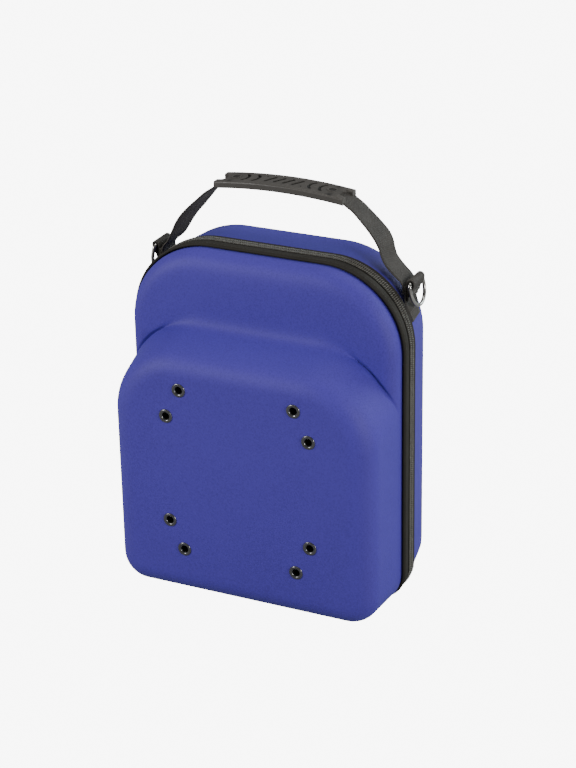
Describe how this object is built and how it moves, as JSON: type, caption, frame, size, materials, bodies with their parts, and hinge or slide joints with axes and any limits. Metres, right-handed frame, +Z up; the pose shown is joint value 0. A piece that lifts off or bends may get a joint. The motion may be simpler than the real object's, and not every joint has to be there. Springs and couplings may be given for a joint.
{
  "type": "cap storage case",
  "caption": "Hard moulded case for baseball caps, with a deep lid that hinges at the bottom, a zip round the other sides, vent eyelets, a webbing handle and side D-rings.",
  "frame": {"origin": "on the floor under the middle of the case, centred between the front of the eyelets and the back of the case, and between its left and right sides", "axes": "+X to the case's right side as seen from the front, +Y from the lid's front towards the back, +Z up; the handle is at the top"},
  "size_m": [0.266, 0.137, 0.3639],
  "materials": {
    "shell_cloth": "fine matte knit cloth bonded to moulded foam, royal blue",
    "lining_cloth": "black brushed lining",
    "zip_tape": "dark woven tape",
    "zip_coil": "dark moulded nylon coil",
    "eyelet_metal": "black lacquer, satin",
    "webbing": "dark grey woven webbing",
    "backing_patch": "black coated cloth",
    "elastic": "black ribbed elastic",
    "grip_rubber": "moulded soft rubber, satin",
    "ring_metal": "nickel-plated wire",
    "slider_metal": "dark lacquered zinc"
  },
  "bodies": {
    "case": {"back_shell": "shell_cloth", "back_lining": "lining_cloth", "zip_tape_back": "zip_tape", "zip_teeth_back": "zip_coil", "inner_binding_back": "zip_tape", "hinge_strip_back": "shell_cloth", "zip_end_tabs_back": "zip_tape", "strap_end_left": "webbing", "strap_end_right": "webbing", "d_ring_loop_left": "webbing", "d_ring_loop_right": "webbing", "anchor_backing_left": "backing_patch", "anchor_backing_right": "backing_patch", "cap_strap": "elastic", "cap_strap_patches": "backing_patch"},
    "lid": {"lid_shell": "shell_cloth", "lid_lining": "lining_cloth", "zip_tape_lid": "zip_tape", "zip_guard_lid": "zip_tape", "zip_teeth_lid": "zip_coil", "inner_binding_lid": "zip_tape", "hinge_strip_lid": "shell_cloth", "zip_end_tabs_lid": "zip_tape", "vent_eyelets": "eyelet_metal", "eyelet_washers": "eyelet_metal"},
    "handle": {"handle_webbing": "webbing", "handle_grip": "grip_rubber"},
    "ring_left": {"d_ring_left": "ring_metal"},
    "ring_right": {"d_ring_right": "ring_metal"},
    "slider_upper": {"zip_slider_upper": "slider_metal"},
    "slider_lower": {"zip_slider_lower": "slider_metal"},
    "pull_upper": {"zip_pull_upper": "slider_metal"},
    "pull_lower": {"zip_pull_lower": "slider_metal"}
  },
  "joints": [
    {"name": "lid_hinge", "type": "hinge", "parent": "case", "child": "lid", "pos_m": [0, 0.0125, 0], "axis": [1, 0, 0], "range_deg": [0, 175]},
    {"name": "handle_swing", "type": "hinge", "parent": "case", "child": "handle", "pos_m": [0, 0.0365, 0.287], "axis": [1, 0, 0], "range_deg": [-28, 28]},
    {"name": "ring_right_swing", "type": "hinge", "parent": "case", "child": "ring_right", "pos_m": [0.1222, 0.0365, 0.29172], "axis": [0, -1, 0], "range_deg": [-10, 140]},
    {"name": "ring_left_swing", "type": "hinge", "parent": "case", "child": "ring_left", "pos_m": [-0.1222, 0.0365, 0.29172], "axis": [0, 1, 0], "range_deg": [-10, 140]},
    {"name": "slider_upper_travel", "type": "slide", "parent": "case", "child": "slider_upper", "axis": [0, 0, 1], "range_m": [0, 0.09]},
    {"name": "slider_lower_travel", "type": "slide", "parent": "case", "child": "slider_lower", "axis": [0, 0, -1], "range_m": [0, 0.08]},
    {"name": "pull_upper_swing", "type": "hinge", "parent": "slider_upper", "child": "pull_upper", "pos_m": [-0.13325, 0.0125, 0.14], "axis": [0, 1, 0], "range_deg": [0, 155]},
    {"name": "pull_lower_swing", "type": "hinge", "parent": "slider_lower", "child": "pull_lower", "pos_m": [-0.13325, 0.0125, 0.116], "axis": [0, 1, 0], "range_deg": [0, 155]}
  ]
}
